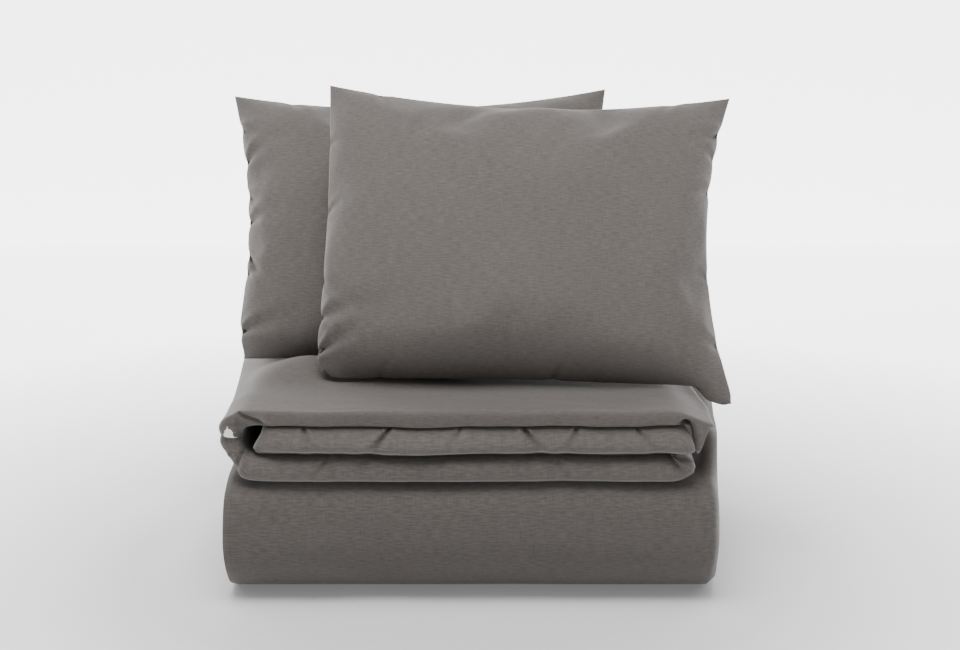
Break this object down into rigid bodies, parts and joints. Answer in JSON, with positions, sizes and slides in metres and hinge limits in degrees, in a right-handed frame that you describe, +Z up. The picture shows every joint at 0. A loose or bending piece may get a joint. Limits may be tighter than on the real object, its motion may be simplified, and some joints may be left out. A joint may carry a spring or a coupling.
{
  "type": "folded duvet set",
  "caption": "Folded duvet with a lighter duvet folded on top and pillows leaning back on it, all in matching plain woven covers with hidden zips.",
  "frame": {"origin": "middle of the footprint, on the surface that the set lies on", "axes": "+Z up; the round front fold of the duvet looks along -Y; +X to the right as seen from the front"},
  "size_m": [0.836, 0.5428, 0.7553],
  "materials": {
    "cover_fabric": "matt plain weave with slubs",
    "casing_fabric": "matt plain weave",
    "wadding_fibre": "loose fibre",
    "zip_tape": "matt twill",
    "zip_coil": "satin",
    "zip_metal": "satin",
    "label_satin": "satin"
  },
  "bodies": {
    "duvet": {"duvet_care_label": "label_satin", "duvet_casing_inner_panel": "casing_fabric", "duvet_casing_outer_panel": "casing_fabric", "duvet_corner_tie_1": "casing_fabric", "duvet_corner_tie_2": "casing_fabric", "duvet_corner_tie_3": "casing_fabric", "duvet_corner_tie_4": "casing_fabric", "duvet_cover_foot_hem": "cover_fabric", "duvet_cover_head_seam": "cover_fabric", "duvet_cover_inner_panel": "cover_fabric", "duvet_cover_outer_panel": "cover_fabric", "duvet_wadding": "wadding_fibre", "duvet_zip_closed_end_stop": "zip_metal", "duvet_zip_lower_coil": "zip_coil", "duvet_zip_lower_tape": "zip_tape", "duvet_zip_open_end_stop": "zip_metal", "duvet_zip_upper_coil": "zip_coil", "duvet_zip_upper_tape": "zip_tape"},
    "duvet_zip_slider": {"duvet_zip_slider": "zip_metal"},
    "duvet_zip_pull_tab": {"duvet_zip_pull_tab": "zip_metal"},
    "light_duvet": {"light_duvet_care_label": "label_satin", "light_duvet_casing_inner_panel": "casing_fabric", "light_duvet_casing_outer_panel": "casing_fabric", "light_duvet_corner_tie_1": "casing_fabric", "light_duvet_corner_tie_2": "casing_fabric", "light_duvet_corner_tie_3": "casing_fabric", "light_duvet_corner_tie_4": "casing_fabric", "light_duvet_cover_foot_seam": "cover_fabric", "light_duvet_cover_head_seam": "cover_fabric", "light_duvet_cover_inner_panel": "cover_fabric", "light_duvet_cover_outer_panel": "cover_fabric", "light_duvet_cover_side_hem": "cover_fabric", "light_duvet_wadding": "wadding_fibre", "light_duvet_zip_closed_end_stop": "zip_metal", "light_duvet_zip_lower_coil": "zip_coil", "light_duvet_zip_lower_tape": "zip_tape", "light_duvet_zip_open_end_stop": "zip_metal", "light_duvet_zip_upper_coil": "zip_coil", "light_duvet_zip_upper_tape": "zip_tape"},
    "light_duvet_zip_slider": {"light_duvet_zip_slider": "zip_metal"},
    "light_duvet_zip_pull_tab": {"light_duvet_zip_pull_tab": "zip_metal"},
    "front_pillow": {"front_pillow_care_label": "label_satin", "front_pillow_case_back_panel": "cover_fabric", "front_pillow_case_flap": "cover_fabric", "front_pillow_case_front_panel": "cover_fabric", "front_pillow_casing_back_panel": "casing_fabric", "front_pillow_casing_front_panel": "casing_fabric", "front_pillow_wadding": "wadding_fibre"},
    "back_pillow": {"back_pillow_care_label": "label_satin", "back_pillow_case_back_panel": "cover_fabric", "back_pillow_case_flap": "cover_fabric", "back_pillow_case_front_panel": "cover_fabric", "back_pillow_casing_back_panel": "casing_fabric", "back_pillow_casing_front_panel": "casing_fabric", "back_pillow_wadding": "wadding_fibre"}
  },
  "joints": [
    {"name": "duvet_zip_slide", "type": "slide", "parent": "duvet", "child": "duvet_zip_slider", "axis": [1, 0, 0], "range_m": [0, 0.65]},
    {"name": "duvet_zip_tab_hinge", "type": "hinge", "parent": "duvet_zip_slider", "child": "duvet_zip_pull_tab", "pos_m": [-0.29172, 0.25194, 0.17575], "axis": [0, 0, -1], "range_deg": [0, 170]},
    {"name": "light_duvet_lift", "type": "slide", "parent": "duvet", "child": "light_duvet", "axis": [0, 0, 1], "range_m": [0, 0.3]},
    {"name": "light_duvet_zip_slide", "type": "slide", "parent": "light_duvet", "child": "light_duvet_zip_slider", "axis": [1, 0, 0], "range_m": [0, 0.59]},
    {"name": "light_duvet_zip_tab_hinge", "type": "hinge", "parent": "light_duvet_zip_slider", "child": "light_duvet_zip_pull_tab", "pos_m": [-0.24512, 0.24434, 0.289], "axis": [0, 0, -1], "range_deg": [0, 170]},
    {"name": "front_pillow_lift", "type": "slide", "parent": "light_duvet", "child": "front_pillow", "axis": [0, 0.3907, 0.9205], "range_m": [0, 0.3]},
    {"name": "back_pillow_lift", "type": "slide", "parent": "light_duvet", "child": "back_pillow", "axis": [0, 0.3907, 0.9205], "range_m": [0, 0.3]}
  ]
}
